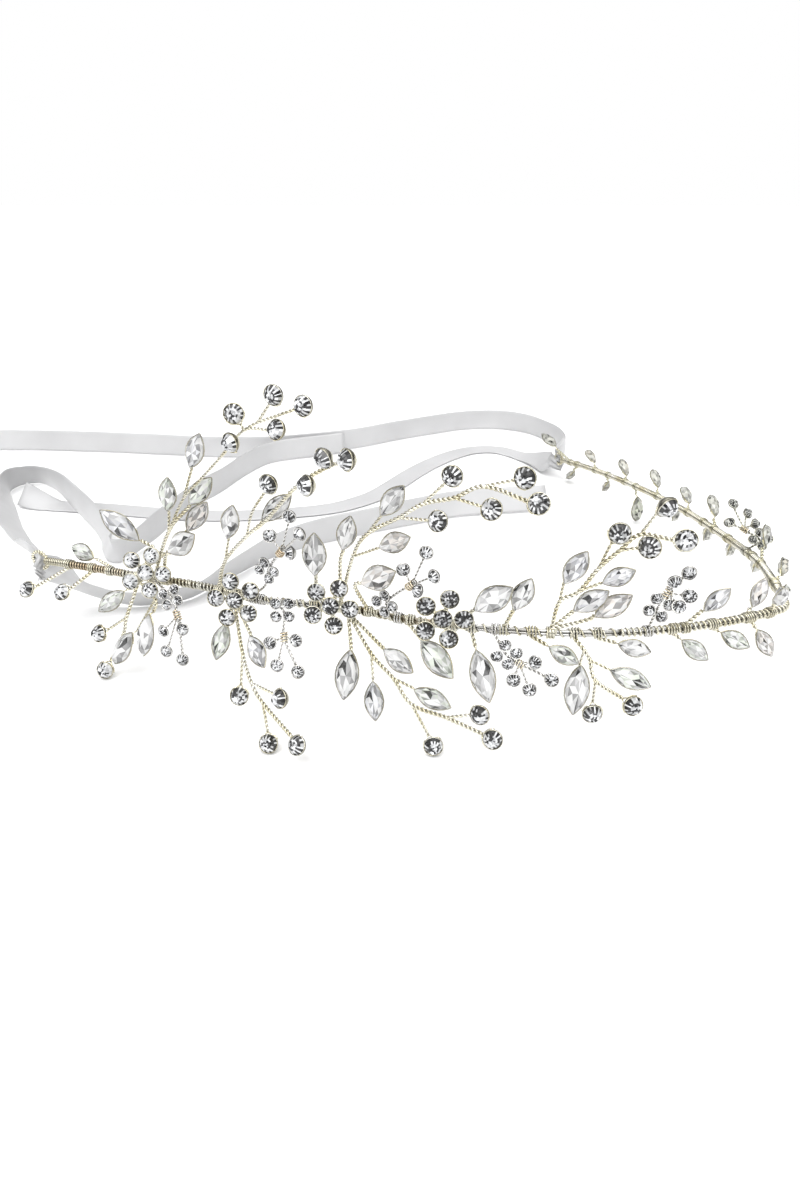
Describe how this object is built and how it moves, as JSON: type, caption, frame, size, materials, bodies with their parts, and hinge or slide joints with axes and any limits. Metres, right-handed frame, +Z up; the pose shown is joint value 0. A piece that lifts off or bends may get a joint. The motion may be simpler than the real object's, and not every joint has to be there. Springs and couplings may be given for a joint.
{
  "type": "rhinestone headband",
  "caption": "Open C-shaped wire hair band with crystal sprigs, flowers, small bunches and leaves along it, tied with satin ribbons from a loop at each end.",
  "frame": {"origin": "on the table, under the middle of the headband's own box, ribbons left out", "axes": "+X to the right along the dressed front, +Y away from the viewer towards the band's far end, +Z up"},
  "size_m": [0.3092, 0.2879, 0.0793],
  "materials": {
    "gold_wire": "polished",
    "silver_wire": "polished",
    "crystal": "polished",
    "dark_crystal": "polished",
    "satin_ribbon": "satin"
  },
  "bodies": {
    "root": {"band_wire": "gold_wire", "flower_1_setting": "gold_wire", "flower_1_stones": "crystal", "flower_2_setting": "gold_wire", "flower_2_stones": "crystal", "flower_3_setting": "gold_wire", "flower_3_stones": "crystal", "flower_4_setting": "gold_wire", "flower_4_stones": "dark_crystal", "left_end_wire": "gold_wire", "left_end_stones": "crystal", "left_spray_wire": "gold_wire", "left_spray_stones": "crystal", "up_sprig_1_wire": "gold_wire", "up_sprig_1_stones": "crystal", "up_sprig_2_wire": "gold_wire", "up_sprig_2_stones": "crystal", "down_sprig_2_wire": "gold_wire", "down_sprig_2_stones": "crystal", "navettes_3_wire": "gold_wire", "navettes_3_stones": "crystal", "up_sprig_3_wire": "gold_wire", "up_sprig_3_stones": "crystal", "down_sprig_3_wire": "gold_wire", "down_sprig_3_stones": "crystal", "leaves_4_wire": "gold_wire", "leaves_4_stones": "crystal", "up_sprig_4_wire": "gold_wire", "up_sprig_4_stones": "crystal", "down_sprig_4_wire": "gold_wire", "down_sprig_4_stones": "crystal", "right_leaves_wire": "gold_wire", "right_leaves_stones": "crystal", "far_upper_wire": "gold_wire", "far_upper_stones": "crystal", "far_lower_wire": "gold_wire", "far_lower_stones": "crystal", "bunch_1_wire": "silver_wire", "bunch_1_stones": "crystal", "bunch_2_wire": "silver_wire", "bunch_2_stones": "crystal", "bunch_3_wire": "silver_wire", "bunch_3_stones": "crystal", "bunch_4_wire": "silver_wire", "bunch_4_stones": "crystal", "bunch_5_wire": "silver_wire", "bunch_5_stones": "crystal", "bunch_6_wire": "silver_wire", "bunch_6_stones": "crystal", "bunch_7_wire": "silver_wire", "bunch_7_stones": "crystal", "ribbon_left_long": "satin_ribbon", "ribbon_left_short": "satin_ribbon", "ribbon_far_long": "satin_ribbon", "ribbon_far_short": "satin_ribbon"}
  },
  "joints": []
}
